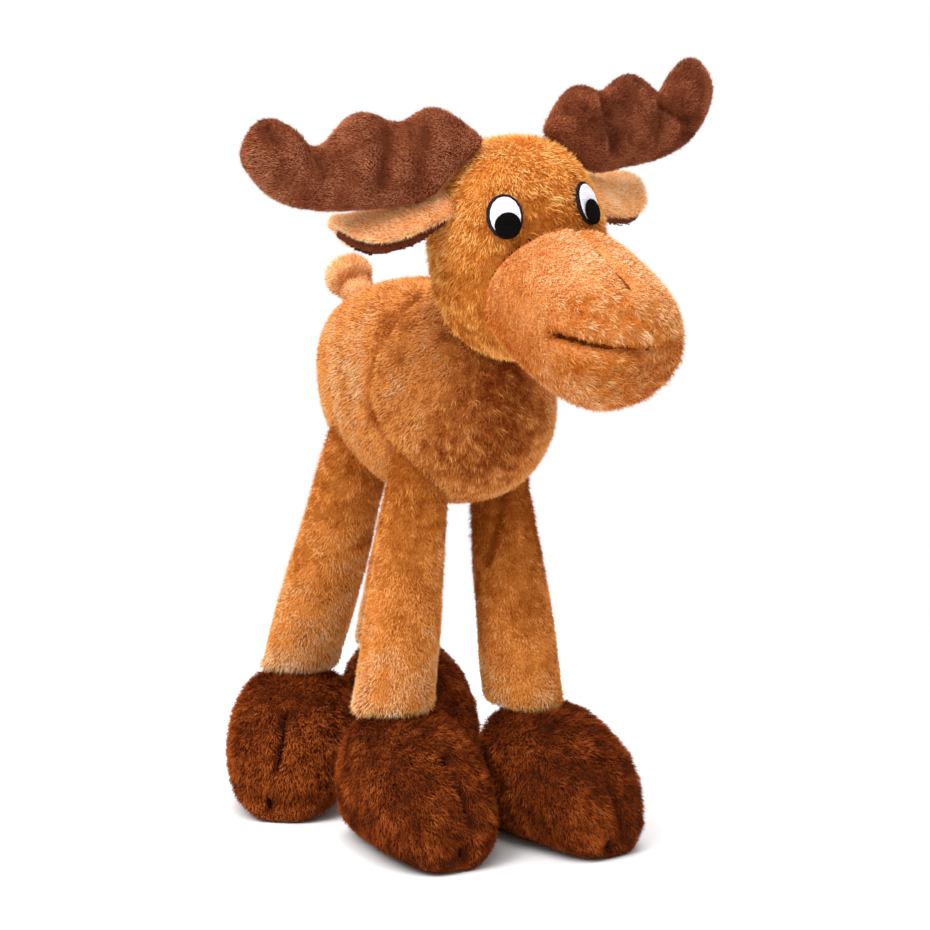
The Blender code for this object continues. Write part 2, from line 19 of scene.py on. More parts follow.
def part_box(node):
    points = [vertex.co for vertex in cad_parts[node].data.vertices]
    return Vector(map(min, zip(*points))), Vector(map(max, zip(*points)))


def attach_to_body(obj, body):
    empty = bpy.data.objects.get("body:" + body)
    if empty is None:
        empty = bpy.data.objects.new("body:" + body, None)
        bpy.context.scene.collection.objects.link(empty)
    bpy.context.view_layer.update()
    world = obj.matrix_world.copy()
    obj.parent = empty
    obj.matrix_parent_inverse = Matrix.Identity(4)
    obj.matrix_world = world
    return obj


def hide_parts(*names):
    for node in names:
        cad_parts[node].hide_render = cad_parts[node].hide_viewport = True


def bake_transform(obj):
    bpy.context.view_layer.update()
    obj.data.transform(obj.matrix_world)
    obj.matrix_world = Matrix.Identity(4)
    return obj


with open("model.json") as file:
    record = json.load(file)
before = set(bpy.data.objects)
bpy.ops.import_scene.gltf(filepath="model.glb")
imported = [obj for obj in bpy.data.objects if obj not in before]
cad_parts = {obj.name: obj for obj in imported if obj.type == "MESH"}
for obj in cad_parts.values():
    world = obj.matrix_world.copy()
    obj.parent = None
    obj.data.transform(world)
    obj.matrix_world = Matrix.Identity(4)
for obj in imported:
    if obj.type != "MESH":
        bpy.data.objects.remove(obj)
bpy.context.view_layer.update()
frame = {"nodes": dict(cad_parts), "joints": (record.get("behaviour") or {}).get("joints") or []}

# Camera: where it looks from, and its lens on a frame of 930 pixels
CAMERA_AZIMUTH = math.radians(-33)
CAMERA_ELEVATION = math.radians(10)
CAMERA_DISTANCE = 1.1
CAMERA_TARGET = Vector((0.0149, 0.0129, 0.142))
FRAME_PIXELS = 930
FOCAL_PIXELS = 2790
SENSOR_WIDTH = 36.0

# Where a pixel misses a piece: how far along its ray, in how many steps, the nearest place is sought
SEARCH_REACH = 0.2
SEARCH_STEPS = 201

# Skins
PILE_DEPTH = 0.0018
VOXEL = 0.0014
LUMP_SIZE = 0.022
LUMP_HEIGHT = 0.0007
WELD_DISTANCE = 1e-6
HIDDEN_DEPTH = 0.0015

# How each kind of form is made into a skin: rounds of softening, and what differs from the usual
SKINS = {
    "torso": dict(rounds=10),
    "head": dict(rounds=10, hull=True),
    "muzzle": dict(rounds=24, voxel=0.0009, hull=True),
    "tail": dict(rounds=6),
    "ear": dict(rounds=10, inset=-0.0002, voxel=0.0004),
    "ear_lining": dict(rounds=10, inset=-0.0006, voxel=0.0004),
    "antler": dict(rounds=6, inset=0.0008),
    "leg": dict(rounds=14, inset=0.0013),
    "hoof": dict(rounds=8),
}

# Painted light and shade: how much lighter or deeper in tone than its cloth the pile of a form is,
# for the light that falls on it
PAINTED_LIGHT_BY_FORM = {
    "antler_right": 0.12,
    "antler_left": -0.15,
    "ear_right": 0.15,
    "ear_left": 0.1,
    "leg_front_left": -0.12,
    "hoof_hind_right": 0.18,
    "hoof_front_right": 0.05,
}

# The woven ground and the soft edge light of plush
SHEEN = 0.12
SHEEN_ROUGHNESS = 0.4
NAP_TUFT_SCALE = 900
NAP_PATCH_SCALE = 110
NAP_RANGE = (0.7, 1.3)
NAP_BUMP = 0.0006
NAP_BUMP_STRENGTH = 0.6

# Pile
STRAND_WIDTH = 0.00030
STRAND_LEAN = 0.8
PILE_DENSITY = 3.4e6
STRAND_BEND_SHARE = 0.35
STRAND_KNEE_SHARE = 0.4
STRAND_ROLL = 1.6
STRAND_RUFFLE = 0.4
STRAND_LENGTHS = (0.65, 1.15)
STRAND_WIDTHS = (0.7, 1.2)
# Soft folds: painted shade in the fold, and shorter pile
FURROW_SHADE = 0.3
FURROW_SHORTENING = 0.25
# Seams: shorter, sparser pile, and a deeper tone and darker ground, partly dark stitching and partly
# painted shade in the crease
SEAM_SHORTENING = 0.75
SEAM_SHADE = 0.5
SEAM_BARENESS = 0.95
SEAM_EDGE = 0.6
SEAM_DARKNESS = 0.5
# Tufts and curls of the pile, and the painted shade between tufts
TUFT = 1.0
TUFT_SHADE = 0.45
CURL_SWIRL = 2.5
CURL_RELIEF = 2.6
CURL_SHADE = 1.8
TONES = 5
TONE_RANDOM = 0.06
TONE_PATCH = 0.6
TUFT_SIZE = 0.0035
TONE_PATCH_SIZE = 0.012
SEED_STEP = 10

DOWN = Vector((0, 0, -1))

# Places


def view_axes():
    """Directions right, up and back of the photograph's camera."""
    flat = math.cos(CAMERA_ELEVATION)
    back = Vector((
        math.sin(CAMERA_AZIMUTH) * flat,
        -math.cos(CAMERA_AZIMUTH) * flat,
        math.sin(CAMERA_ELEVATION),
    ))
    right = Vector((math.cos(CAMERA_AZIMUTH), math.sin(CAMERA_AZIMUTH), 0))
    return right, back.cross(right), back


def coordinates(piece):
    points = np.empty(len(piece.data.vertices) * 3)
    piece.data.vertices.foreach_get("co", points)
    return points.reshape(-1, 3)


def place(piece, points):
    piece.data.vertices.foreach_set("co", points.ravel())
    piece.data.update()


def normals(piece):
    found = np.empty(len(piece.data.vertices) * 3)
    piece.data.vertex_normals.foreach_get("vector", found)
    return found.reshape(-1, 3)


def tree_of(piece):
    return BVHTree.FromPolygons(
        [vertex.co for vertex in piece.data.vertices],
        [polygon.vertices for polygon in piece.data.polygons],
    )


def seen_at(piece, pixels):
    """Points of a piece's surface that the photograph shows at these pixels, or the nearest."""
    right, up, back = view_axes()
    eye = CAMERA_TARGET + back * CAMERA_DISTANCE
    tree = tree_of(piece)
    points = []
    for x, y in pixels:
        aside = (x - FRAME_PIXELS / 2) / FOCAL_PIXELS
        above = (FRAME_PIXELS / 2 - y) / FOCAL_PIXELS
        ray = (right * aside + up * above - back).normalized()
        hit = tree.ray_cast(eye, ray)[0]
        if hit is None:
            reaches = np.linspace(-SEARCH_REACH, SEARCH_REACH, SEARCH_STEPS)
            steps = (eye + ray * (CAMERA_DISTANCE + reach) for reach in reaches)
            hit = min((tree.find_nearest(step) for step in steps), key=lambda found: found[3])[0]
        points.append(hit)
    return np.array(points)


def distance_to_line(points, line):
    """Distance of each point to an open line through the given places."""
    nearest = np.full(len(points), np.inf)
    for start, end in zip(line[:-1], line[1:]):
        way = end - start
        share = np.clip((points - start) @ way / (way @ way), 0, 1)
        gap = np.linalg.norm(points - start - share[:, None] * way, axis=1)
        nearest = np.minimum(nearest, gap)
    return nearest


# Skins


def new_object(name, mesh):
    piece = bpy.data.objects.new(name, mesh)
    bpy.context.scene.collection.objects.link(piece)
    return piece


def evaluated_mesh(piece):
    graph = bpy.context.evaluated_depsgraph_get()
    return bpy.data.meshes.new_from_object(piece.evaluated_get(graph), depsgraph=graph)


def remeshed(name, node, voxel, hull=False, stretches=()):
    """A fresh even mesh over a CAD node, its ends first drawn out into what they are sewn to."""
    form = bmesh.new()
    form.from_mesh(frame["nodes"][node].data)
    bmesh.ops.remove_doubles(form, verts=form.verts, dist=WELD_DISTANCE)
    for vertex in form.verts:
        for start, way, reach in stretches:
            beyond = (vertex.co - start).dot(way)
            if beyond > 0:
                vertex.co += way * reach * min(beyond / reach, 1)
    if hull:
        cover = bmesh.ops.convex_hull(form, input=form.verts)
        spare = [e for e in cover["geom_interior"] if isinstance(e, bmesh.types.BMVert)]
        bmesh.ops.delete(form, geom=spare, context="VERTS")
        bmesh.ops.recalc_face_normals(form, faces=form.faces)
    mesh = bpy.data.meshes.new(name)
    form.to_mesh(mesh)
    form.free()
    rough = new_object(name + "_rough", mesh)
    change = rough.modifiers.new("even", "REMESH")
    change.mode = "VOXEL"
    change.voxel_size = voxel
    skin = new_object(name, evaluated_mesh(rough))
    bpy.data.objects.remove(rough)
    skin.data.shade_smooth()
    return skin


def round_off(piece, rounds):
    """Soften edges as stuffing does, by moving each point towards its neighbours."""
    edges = np.empty(len(piece.data.edges) * 2, int)
    piece.data.edges.foreach_get("vertices", edges)
    edges = edges.reshape(-1, 2)
    points = coordinates(piece)
    both = np.concatenate((edges, edges[:, ::-1]))
    counts = np.bincount(both[:, 0], minlength=len(points))
    for _ in range(rounds):
        sums = [
            np.bincount(both[:, 0], weights=points[both[:, 1], axis], minlength=len(points))
            for axis in range(3)
        ]
        points = (points + np.stack(sums, 1) / counts[:, None]) / 2
    place(piece, points)


def offset(piece, amounts):
    """Move the surface outwards along its normals."""
    place(piece, coordinates(piece) + normals(piece) * np.asarray(amounts).reshape(-1, 1))


def lumps(piece, height, size=LUMP_SIZE):
    """The uneven swell of stuffing under a cover."""
    places = coordinates(piece) / size
    offset(piece, [height * noise.noise(Vector(point)) for point in places])


def fold(piece, line, width, depth):
    """Draw the cover in along a line, and give how near each point lies to it."""
    near = np.exp(-((distance_to_line(coordinates(piece), line) / width) ** 2))
    offset(piece, -depth * near)
    return near


def furrow(piece, line, width, depth):
    """A soft fold, along which the pile is a little shorter and deeper in tone, a painted shade in
    the fold.
    """
    near = fold(piece, line, width, depth)
    change_by(piece, near, tone_shift=-FURROW_SHADE, pile=-FURROW_SHORTENING)


def sew(piece, near):
    """Keep where a cover is sewn, for its pile, which is short, sparse and dark there, partly for
    dark stitching and partly as painted shade in the seam's crease.
    """
    mark(piece, "seam", np.maximum(kept(piece, "seam"), near))


def crease(piece, line, width, depth):
    """A fold that is sewn in."""
    sew(piece, fold(piece, line, width, depth))


def stuffed(node, rounds, inset=PILE_DEPTH, voxel=VOXEL, **how):
    """The skin of a stuffed form, softened, drawn in by the inset and made uneven."""
    skin = remeshed(f"{node}_skin", node, voxel, **how)
    round_off(skin, rounds)
    offset(skin, np.full(len(skin.data.vertices), -inset))
    lumps(skin, LUMP_HEIGHT)
    # The form's painted light and shade
    mark(skin, "tone_shift", np.full(len(skin.data.vertices), PAINTED_LIGHT_BY_FORM.get(node, 0)))
    return skin


# Colours and finishes


def colour(red, green, blue):
    """A colour as seen on a screen, 0 to 255, as the shader wants it."""
    shares = (value / 255 for value in (red, green, blue))
    return (*(s / 12.92 if s <= 0.04045 else ((s + 0.055) / 1.055) ** 2.4 for s in shares), 1)


def plain_finish(name, tint, roughness=0.8, specular=0.08):
    finish = bpy.data.materials.new(name)
    finish.use_nodes = True
    shader = finish.node_tree.nodes["Principled BSDF"]
    shader.inputs["Base Color"].default_value = tint
    shader.inputs["Roughness"].default_value = roughness
    shader.inputs["Specular IOR Level"].default_value = specular
    return finish


def sheen(finish, tint):
    """The light edge of a soft cloth seen at a slant."""
    shader = finish.node_tree.nodes["Principled BSDF"]
    shader.inputs["Sheen Weight"].default_value = SHEEN
    shader.inputs["Sheen Roughness"].default_value = SHEEN_ROUGHNESS
    shader.inputs["Sheen Tint"].default_value = tint
    return finish


def add_node(group, kind, inputs=(), **settings):
    node = group.nodes.new(kind)
    for name, value in settings.items():
        setattr(node, name, value)
    for socket, value in dict(inputs).items():
        if hasattr(value, "is_output"):
            group.links.new(value, node.inputs[socket])
        else:
            node.inputs[socket].default_value = value
    return node


def nap_group():
    """Shared effect of a plush ground: mottled tones, deeper where its surface is low as a painted
    shade in the hollows, and a fine tufted surface.
    """
    group = bpy.data.node_groups.new("nap", "ShaderNodeTree")
    face = group.interface
    for name, kind in (("Deep", "NodeSocketColor"), ("Light", "NodeSocketColor")):
        face.new_socket(name, in_out="INPUT", socket_type=kind)
    face.new_socket("Color", in_out="OUTPUT", socket_type="NodeSocketColor")
    face.new_socket("Normal", in_out="OUTPUT", socket_type="NodeSocketVector")
    taken = add_node(group, "NodeGroupInput")
    spot = add_node(group, "ShaderNodeTexCoord").outputs["Object"]
    tufts = add_node(
        group, "ShaderNodeTexNoise", {"Vector": spot, "Scale": NAP_TUFT_SCALE, "Detail": 3}
    )
    patches = add_node(
        group, "ShaderNodeTexNoise", {"Vector": spot, "Scale": NAP_PATCH_SCALE, "Detail": 2}
    )
    both = add_node(
        group,
        "ShaderNodeMath",
        {0: tufts.outputs["Fac"], 1: patches.outputs["Fac"]},
        operation="ADD",
    )
    low, high = NAP_RANGE
    share = add_node(group, "ShaderNodeMapRange", {"Value": both.outputs[0], 1: low, 2: high})
    tint = add_node(group, "ShaderNodeMix", {0: share.outputs[0]}, data_type="RGBA")
    group.links.new(taken.outputs["Deep"], tint.inputs[6])
    group.links.new(taken.outputs["Light"], tint.inputs[7])
    bump = add_node(
        group,
        "ShaderNodeBump",
        {"Strength": NAP_BUMP_STRENGTH, "Distance": NAP_BUMP, "Height": both.outputs[0]},
    )
    given = add_node(group, "NodeGroupOutput")
    group.links.new(tint.outputs[2], given.inputs["Color"])
    group.links.new(bump.outputs[0], given.inputs["Normal"])
    return group


NAP = nap_group()


def ground_finish(name, deep, light):
    """The woven ground that the pile stands on."""
    finish = plain_finish(name, light, roughness=0.9)
    tree = finish.node_tree
    nap = add_node(tree, "ShaderNodeGroup", node_tree=NAP)
    nap.inputs["Deep"].default_value = deep
    nap.inputs["Light"].default_value = light
    shader = tree.nodes["Principled BSDF"]
    tree.links.new(nap.outputs["Color"], shader.inputs["Base Color"])
    tree.links.new(nap.outputs["Normal"], shader.inputs["Normal"])
    return finish


def tones(deep, middle, light):
    """Colours in even steps from the deepest over the middle to the lightest."""
    found = []
    for k in range(TONES):
        share = 2 * k / (TONES - 1)
        start, end = (deep, middle) if share < 1 else (middle, light)
        part = share % 1 if share < 2 else 1
        found.append(colour(*(a + (b - a) * part for a, b in zip(start, end))))
    return found


class Plush:
    """One plush cloth: its ground, and tones of pile that is darker at the root, a painted shade
    deep in the pile.
    """

    def __init__(self, name, roots, tips, slot):
        self.slot = slot
        roots, tips = tones(*roots), tones(*tips)
        # The ground in deep root tones: painted shade under the pile
        self.ground = ground_finish(f"{name}_ground", roots[0], roots[2])
        # The seam finish: dark stitching and painted shade in the crease
        shade = [value * SEAM_DARKNESS for value in roots[0][:3]]
        self.seam = ground_finish(f"{name}_seam", (*(value / 2 for value in shade), 1), (*shade, 1))
        self.roots = [plain_finish(f"{name}_root_{k}", tint) for k, tint in enumerate(roots)]
        self.tips = [
            sheen(plain_finish(f"{name}_tip_{k}", tint), tips[-1]) for k, tint in enumerate(tips)
        ]


# Pile


def make_strand():
    """One strand of pile: a narrow leaf one unit long that bends over towards +Y."""
    form = bmesh.new()
    upper = form.faces.layers.bool.new("tip")
    knee_bend = STRAND_BEND_SHARE * STRAND_KNEE_SHARE**2
    base, left, right, end = (
        form.verts.new(corner)
        for corner in (
            (0, 0, 0),
            (-0.5, knee_bend, STRAND_KNEE_SHARE),
            (0.5, knee_bend, STRAND_KNEE_SHARE),
            (0, STRAND_BEND_SHARE, 1),
        )
    )
    form.faces.new((base, right, left))[upper] = False
    form.faces.new((left, right, end))[upper] = True
    mesh = bpy.data.meshes.new("strand")
    form.to_mesh(mesh)
    form.free()
    mesh.shade_smooth()
    return new_object("strand", mesh)


STRAND = make_strand()


def pile_group():
    """Geometry nodes that plant strands over a skin, combed along its flow."""
    group = bpy.data.node_groups.new("pile", "GeometryNodeTree")
    face = group.interface
    face.new_socket("Geometry", in_out="INPUT", socket_type="NodeSocketGeometry")
    face.new_socket("Strand", in_out="INPUT", socket_type="NodeSocketObject")
    strands = ("Density", "Length", "Width", "Lean", "Ruffle")
    for name in (*strands, "Tuft", "Tuft Scale", "Patch", "Patch Scale"):
        face.new_socket(name, in_out="INPUT", socket_type="NodeSocketFloat")
    face.new_socket("Seed", in_out="INPUT", socket_type="NodeSocketInt")
    for part in ("Root", "Tip"):
        for k in range(TONES):
            face.new_socket(f"{part} {k}", in_out="INPUT", socket_type="NodeSocketMaterial")
    face.new_socket("Geometry", in_out="OUTPUT", socket_type="NodeSocketGeometry")
    taken = add_node(group, "NodeGroupInput").outputs

    def attribute(name, kind):
        return add_node(
            group, "GeometryNodeInputNamedAttribute", {"Name": name}, data_type=kind
        ).outputs["Attribute"]

    def maths(operation, a, b=0.0, c=0.0):
        return add_node(group, "ShaderNodeMath", {0: a, 1: b, 2: c}, operation=operation).outputs[0]

    def vectors(operation, a, b=None, scale=None):
        inputs = {0: a}
        if b is not None:
            inputs[1] = b
        if scale is not None:
            inputs["Scale"] = scale
        return add_node(group, "ShaderNodeVectorMath", inputs, operation=operation).outputs[0]

    def scatter(low, high, salt, kind="FLOAT"):
        """A random value for each strand, from a draw of its own for each salt."""
        picked = maths("ADD", taken["Seed"], salt)
        node = add_node(group, "FunctionNodeRandomValue", data_type=kind)
        slots = {"FLOAT_VECTOR": (0, 1, 0), "FLOAT": (2, 3, 1)}[kind]
        node.inputs[slots[0]].default_value = low
        node.inputs[slots[1]].default_value = high
        group.links.new(picked, node.inputs["Seed"])
        return node.outputs[slots[2]]

    def mottle(scale):
        spot = add_node(group, "GeometryNodeInputPosition").outputs[0]
        inputs = {"Vector": spot, "Scale": scale, "Detail": 1.0}
        return add_node(group, "ShaderNodeTexNoise", inputs).outputs

    density = maths("MULTIPLY", taken["Density"], attribute("cover", "FLOAT"))
    planted = add_node(
        group,
        "GeometryNodeDistributePointsOnFaces",
        {"Mesh": taken["Geometry"], "Density": density, "Seed": taken["Seed"]},
        distribute_method="RANDOM",
    )
    curl = attribute("curl", "FLOAT")
    tuft = mottle(taken["Tuft Scale"])
    dip = maths("SUBTRACT", tuft["Fac"], 0.5)
    clump = vectors("SUBTRACT", tuft["Color"], (0.5, 0.5, 0.5))
    combed = vectors("SCALE", attribute("flow", "FLOAT_VECTOR"), scale=taken["Lean"])
    way = vectors("ADD", planted.outputs["Normal"], combed)
    shag = maths("MULTIPLY", taken["Tuft"], attribute("pile", "FLOAT"))
    shag = maths("MULTIPLY_ADD", curl, CURL_SWIRL, shag)
    way = vectors("ADD", way, vectors("SCALE", clump, scale=shag))
    loose = scatter((-1, -1, -1), (1, 1, 1), 1, "FLOAT_VECTOR")
    way = vectors("ADD", way, vectors("SCALE", loose, scale=taken["Ruffle"]))
    roll = scatter((-1, -1, -1), (1, 1, 1), 5, "FLOAT_VECTOR")
    rolled = vectors("SCALE", roll, scale=STRAND_ROLL)
    facing = vectors("ADD", attribute("flow", "FLOAT_VECTOR"), rolled)
    turn = add_node(
        group,
        "FunctionNodeAxesToRotation",
        {"Primary Axis": vectors("NORMALIZE", way), "Secondary Axis": facing},
        primary_axis="Z",
        secondary_axis="Y",
    )
    tall = maths("MULTIPLY", taken["Length"], attribute("pile", "FLOAT"))
    tall = maths("MULTIPLY", tall, scatter(*STRAND_LENGTHS, 2))
    heave = maths("MULTIPLY", maths("MULTIPLY", curl, dip), CURL_RELIEF)
    tall = maths("MULTIPLY", tall, maths("ADD", heave, 1.0))
    wide = maths("MULTIPLY", taken["Width"], scatter(*STRAND_WIDTHS, 3))
    size = add_node(group, "ShaderNodeCombineXYZ", {0: wide, 1: tall, 2: tall})
    blade = add_node(group, "GeometryNodeObjectInfo", {"Object": taken["Strand"]})
    grown = add_node(
        group,
        "GeometryNodeInstanceOnPoints",
        {
            "Points": planted.outputs["Points"],
            "Instance": blade.outputs["Geometry"],
            "Rotation": turn.outputs[0],
            "Scale": size.outputs[0],
        },
    )
    patch = maths("SUBTRACT", mottle(taken["Patch Scale"])["Fac"], 0.5)
    soft = maths("MULTIPLY_ADD", patch, taken["Patch"], 0.5)
    tone = maths("ADD", soft, scatter(-TONE_RANDOM, TONE_RANDOM, 4))
    tone = maths("ADD", tone, attribute("tone_shift", "FLOAT"))
    # Painted shade between tufts: strands where a tuft dips are deeper in tone, more so where the
    # pile curls, which also makes them shorter there
    shade = maths("MULTIPLY_ADD", curl, CURL_SHADE, TUFT_SHADE)
    tone = maths("MULTIPLY_ADD", dip, shade, tone)
    toned = add_node(
        group,
        "GeometryNodeStoreNamedAttribute",
        {"Geometry": grown.outputs[0], "Name": "tone", "Value": tone},
        data_type="FLOAT",
        domain="INSTANCE",
    )
    real = add_node(group, "GeometryNodeRealizeInstances", {"Geometry": toned.outputs[0]})
    real = real.outputs[0]
    tip = attribute("tip", "BOOLEAN")
    tone = attribute("tone", "FLOAT")
    for k in range(TONES):
        low = k / TONES if k else -math.inf
        above = add_node(group, "FunctionNodeCompare", {0: tone, 1: low}, operation="GREATER_THAN")
        for part in ("Root", "Tip"):
            pick = add_node(group, "FunctionNodeBooleanMath", operation="AND")
            if part == "Root":
                inverse = add_node(group, "FunctionNodeBooleanMath", {0: tip}, operation="NOT")
                group.links.new(inverse.outputs[0], pick.inputs[1])
            else:
                group.links.new(tip, pick.inputs[1])
            group.links.new(above.outputs[0], pick.inputs[0])
            real = add_node(
                group,
                "GeometryNodeSetMaterial",
                {"Geometry": real, "Selection": pick.outputs[0], "Material": taken[f"{part} {k}"]},
            ).outputs[0]
    given = add_node(group, "NodeGroupOutput")
    group.links.new(real, given.inputs["Geometry"])
    return group


PILE = pile_group()


# What a skin keeps for its pile, and the value of each where nothing changes it
KEPT = {"cover": 1, "pile": 1, "tone_shift": 0, "curl": 0, "seam": 0}


def mark(piece, name, values, kind="FLOAT"):
    """Keep a value for each point of a skin, for the pile to read."""
    found = piece.data.attributes.get(name) or piece.data.attributes.new(name, kind, "POINT")
    field = "vector" if kind == "FLOAT_VECTOR" else "value"
    found.data.foreach_set(field, np.asarray(values, np.float32).ravel())


def kept(piece, name):
    """What is kept for each point of a skin under a name."""
    found = piece.data.attributes.get(name)
    values = np.full(len(piece.data.vertices), float(KEPT[name]))
    if found:
        found.data.foreach_get("value", values)
    return values


def change_by(piece, near, **changes):
    """Change kept values of a skin by how near each point lies to something."""
    for name, change in changes.items():
        mark(piece, name, kept(piece, name) + change * near)


def around(piece, centre, radius, **changes):
    """Change the pile round a place: its tone_shift, its length as pile, or its curl."""
    gap = np.linalg.norm(coordinates(piece) - np.array(centre), axis=1)
    change_by(piece, np.exp(-((gap / radius) ** 2)), **changes)


def beside(piece, other, reach):
    """How near each point of a skin lies to another skin."""
    tree = tree_of(other)
    gap = np.array([tree.find_nearest(Vector(point))[3] for point in coordinates(piece)])
    return np.exp(-((gap / reach) ** 2))


def comb(piece, way):
    """Set the direction in which the pile lies, along the skin."""
    out = normals(piece)
    way = np.broadcast_to(np.asarray(way, float), out.shape)
    flat = way - (way * out).sum(1, keepdims=True) * out
    flat /= np.maximum(np.linalg.norm(flat, axis=1, keepdims=True), 1e-9)
    mark(piece, "flow", flat, "FLOAT_VECTOR")


def spare(piece, others, depth):
    """Leave out pile where a skin lies hidden inside another one."""
    cover = kept(piece, "cover")
    points = coordinates(piece)
    for other in others:
        tree = tree_of(other)
        for k, point in enumerate(points):
            out = tree.ray_cast(Vector(point), DOWN)[1]
            if out and out.dot(DOWN) > 0 and tree.find_nearest(Vector(point))[3] > depth:
                cover[k] = 0
    mark(piece, "cover", cover)


def grow(
    skin,
    name,
    plush,
    seed,
    length,
    width=STRAND_WIDTH,
    density=PILE_DENSITY,
    lean=STRAND_LEAN,
    tuft=TUFT,
    patch=TONE_PATCH,
):
    """A separate piece of pile over a skin, with strands of the given size and density."""
    for value in KEPT:
        mark(skin, value, kept(skin, value))
    near = kept(skin, "seam")
    mark(skin, "pile", kept(skin, "pile") * (1 - SEAM_SHORTENING * near))
    mark(skin, "cover", kept(skin, "cover") * (1 - SEAM_BARENESS * near))
    # Deeper tone along seams: dark stitching and painted shade in the crease
    change_by(skin, near, tone_shift=-SEAM_SHADE)
    change = skin.modifiers.new("pile", "NODES")
    change.node_group = PILE
    values = {
        "Strand": STRAND,
        "Density": density,
        "Length": length,
        "Width": width,
        "Lean": lean,
        "Ruffle": STRAND_RUFFLE,
        "Tuft": tuft,
        "Tuft Scale": 1 / TUFT_SIZE,
        "Patch": patch,
        "Patch Scale": 1 / TONE_PATCH_SIZE,
        "Seed": seed,
    }
    for k in range(TONES):
        values[f"Root {k}"] = plush.roots[k]
        values[f"Tip {k}"] = plush.tips[k]
    for item in PILE.interface.items_tree:
        if item.in_out == "INPUT" and item.name in values:
            change[item.identifier] = values[item.name]
    fur = new_object(name, evaluated_mesh(skin))
    skin.modifiers.remove(change)
    for used in ("flow", "tone", "tip", *KEPT):
        found = fur.data.attributes.get(used)
        if found:
            fur.data.attributes.remove(found)
    return fur


def dress(skin, plush, attach):
    """Give a skin its cloth and pass it to its attach step, which parents it to a body or bakes its
    place into its mesh.
    """
    skin.data.materials.clear()
    skin.data.materials.append(plush.ground)
    skin.data.materials.append(plush.seam)
    # Faces along a seam take the darker seam finish: dark stitching and painted shade in the crease
    near = kept(skin, "seam")
    for face in skin.data.polygons:
        if near[list(face.vertices)].min() > SEAM_EDGE:
            face.material_index = 1
    attach(skin)


# Cloths of the toy
# Each cloth runs from deep to light tones; the shifts of tone between them are partly random and
# partly painted light and shade
GOLDEN = Plush(
    "golden",
    ((158, 78, 18), (216, 138, 58), (234, 174, 100)),
    ((186, 102, 30), (234, 164, 80), (248, 204, 132)),
    "golden_plush",
)
TAN = Plush(
    "tan",
    ((122, 48, 8), (208, 132, 62), (222, 176, 130)),
    ((150, 66, 14), (226, 156, 84), (234, 198, 156)),
    "tan_plush",
)
AMBER = Plush(
    "amber",
    ((146, 66, 12), (214, 136, 58), (236, 190, 138)),
    ((172, 90, 20), (236, 164, 86), (248, 214, 170)),
    "tan_plush",
)
PEACH = Plush(
    "peach",
    ((184, 96, 24), (222, 158, 98), (240, 200, 152)),
    ((210, 122, 34), (236, 182, 120), (248, 218, 176)),
    "peach_plush",
)
# The tail's tan cloth, made lighter as painted light on the tail
LIT_TAN = Plush(
    "lit_tan",
    ((190, 110, 50), (238, 186, 130), (248, 214, 170)),
    ((210, 132, 66), (248, 208, 156), (255, 232, 198)),
    "tan_plush",
)
# The ears' golden cloth, made lighter than the head's as painted light on the ears
LEAF = Plush(
    "leaf",
    ((206, 112, 34), (240, 174, 108), (250, 208, 156)),
    ((232, 144, 54), (252, 202, 142), (255, 230, 190)),
    "golden_plush",
)
BROWN = Plush(
    "brown",
    ((78, 32, 16), (134, 72, 44), (176, 108, 74)),
    ((104, 48, 26), (172, 98, 64), (216, 148, 110)),
    "brown_plush",
)
LINING = Plush(
    "lining",
    ((80, 34, 18), (108, 52, 32), (138, 74, 48)),
    ((98, 44, 24), (136, 70, 44), (170, 100, 68)),
    "brown_plush",
)
DARK = Plush(
    "dark",
    ((50, 17, 3), (92, 38, 9), (134, 62, 20)),
    ((74, 30, 7), (134, 58, 17), (186, 96, 38)),
    "dark_plush",
)

# The cloth of each kind of form, and how its strands stand
EAR_STRANDS = dict(width=0.00025, density=6.5e6, tuft=0.4)
PILES = {
    "torso": (TAN, dict(length=0.0022)),
    "head": (GOLDEN, dict(length=0.0026)),
    "muzzle": (PEACH, dict(length=0.0023)),
    "tail": (LIT_TAN, dict(length=0.0019)),
    "ear": (LEAF, dict(length=0.0018, **EAR_STRANDS)),
    "ear_lining": (LINING, dict(length=0.0004, **EAR_STRANDS)),
    "antler": (
        BROWN,
        dict(length=0.0016, width=0.00024, density=6.2e6, lean=1.2, tuft=0.6, patch=1.0),
    ),
    "leg": (AMBER, dict(length=0.0021, width=0.00025, density=4.4e6)),
    "hoof": (DARK, dict(length=0.0032, density=4.0e6, patch=1.1)),
}

SIDES = ("right", "left")
LEGS = ("front_right", "front_left", "hind_right", "hind_left")
JOINTS = {joint["name"]: Vector(joint["pos_m"]) for joint in frame["joints"]}

# Where a limb's root starts, from its joint along it, and how far it is drawn back from there
ROOTS = {
    "tail": (0.002, 0.006),
    "ear": (0.003, 0.004),
    "antler": (0, 0.006),
    "leg": (0.012, 0.010),
}
skins = {}
pile_jobs = []


def middle(node):
    low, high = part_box(node)
    return (low + high) / 2


def riding(body):
    return lambda piece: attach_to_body(piece, body)


def bending():
    return lambda piece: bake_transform(piece)


def drawn_root(root, way, kind):
    """The stretch that draws a limb's root into the form that it is sewn to."""
    start, reach = ROOTS[kind]
    return root + way * start, -way, reach


def mirrored(points, node):
    """The same places on the other side of a node's middle."""
    return points * (-1, 1, 1) + (2 * middle(node).x, 0, 0)


def all_seen_at(skin, named_pixels):
    return {name: seen_at(skin, pixels) for name, pixels in named_pixels.items()}


def change_around(skin, places, changes):
    """Change the pile round the places of each name."""
    for name, change in changes.items():
        for spot in places[name]:
            around(skin, spot, **change)


def keep_skin(skin, node, kind, attach):
    """Keep a finished skin until its pile is grown, once all skins are there."""
    skins[node] = skin
    pile_jobs.append((node, kind, attach))


# Torso

